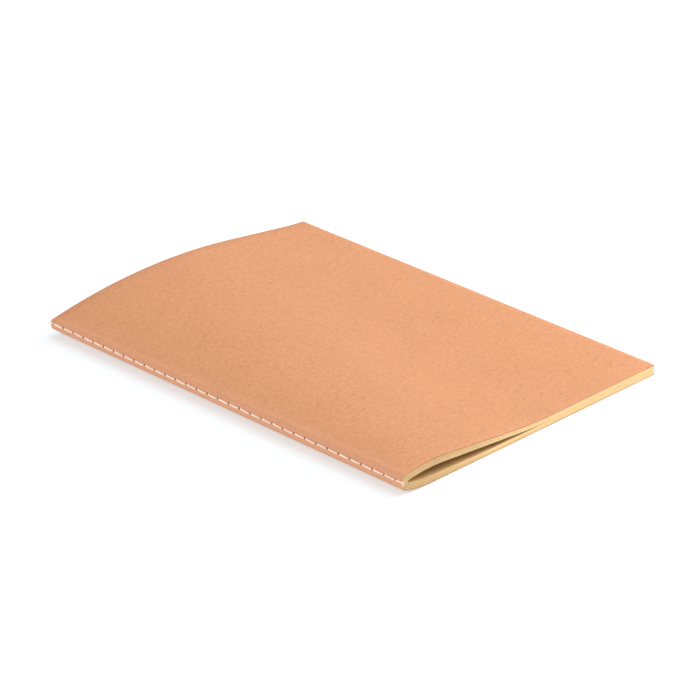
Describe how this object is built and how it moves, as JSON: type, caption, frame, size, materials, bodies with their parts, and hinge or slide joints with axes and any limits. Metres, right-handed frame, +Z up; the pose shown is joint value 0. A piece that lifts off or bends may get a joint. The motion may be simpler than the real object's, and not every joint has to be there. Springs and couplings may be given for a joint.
{
  "type": "pocket notebook",
  "caption": "Thin A6 notebook: one sewn section of folded cream sheets in a plain kraft card cover wrapped round the fold, lying closed with its leaves springing open at the spine.",
  "frame": {"origin": "middle of the flat underside, on the surface that the closed notebook lies on", "axes": "+Z up out of the front cover, +Y along the spine towards the head of the book, +X from the spine towards the fore-edge"},
  "size_m": [0.1052, 0.148, 0.0098],
  "materials": {
    "kraft_card": "matt uncoated kraft card",
    "cream_paper": "matt uncoated writing paper",
    "sewing_thread": "twisted polyester sewing thread"
  },
  "bodies": {
    "back_half": {"back_cover": "kraft_card", "leaf_17": "cream_paper", "leaf_18": "cream_paper", "leaf_19": "cream_paper", "leaf_20": "cream_paper", "leaf_21": "cream_paper", "leaf_22": "cream_paper", "leaf_23": "cream_paper", "leaf_24": "cream_paper", "leaf_25": "cream_paper", "leaf_26": "cream_paper", "leaf_27": "cream_paper", "leaf_28": "cream_paper", "leaf_29": "cream_paper", "leaf_30": "cream_paper", "leaf_31": "cream_paper", "leaf_32": "cream_paper", "bobbin_thread": "sewing_thread"},
    "front_half": {"leaf_01": "cream_paper", "leaf_02": "cream_paper", "leaf_03": "cream_paper", "leaf_04": "cream_paper", "leaf_05": "cream_paper", "leaf_06": "cream_paper", "leaf_07": "cream_paper", "leaf_08": "cream_paper", "leaf_09": "cream_paper", "leaf_10": "cream_paper", "leaf_11": "cream_paper", "leaf_12": "cream_paper", "leaf_13": "cream_paper", "leaf_14": "cream_paper", "leaf_15": "cream_paper", "leaf_16": "cream_paper", "spine_fold": "kraft_card", "needle_thread": "sewing_thread"},
    "front_cover_panel": {"front_cover": "kraft_card"}
  },
  "joints": [
    {"name": "centre_fold", "type": "hinge", "parent": "back_half", "child": "front_half", "pos_m": [-0.05258, 0, 0.004], "axis": [0, -1, 0], "range_deg": [0, 170]},
    {"name": "cover_fold", "type": "hinge", "parent": "front_half", "child": "front_cover_panel", "pos_m": [-0.05071, 0, 0.00624], "axis": [0.0037, -1, 0.0045], "range_deg": [0, 165]}
  ]
}
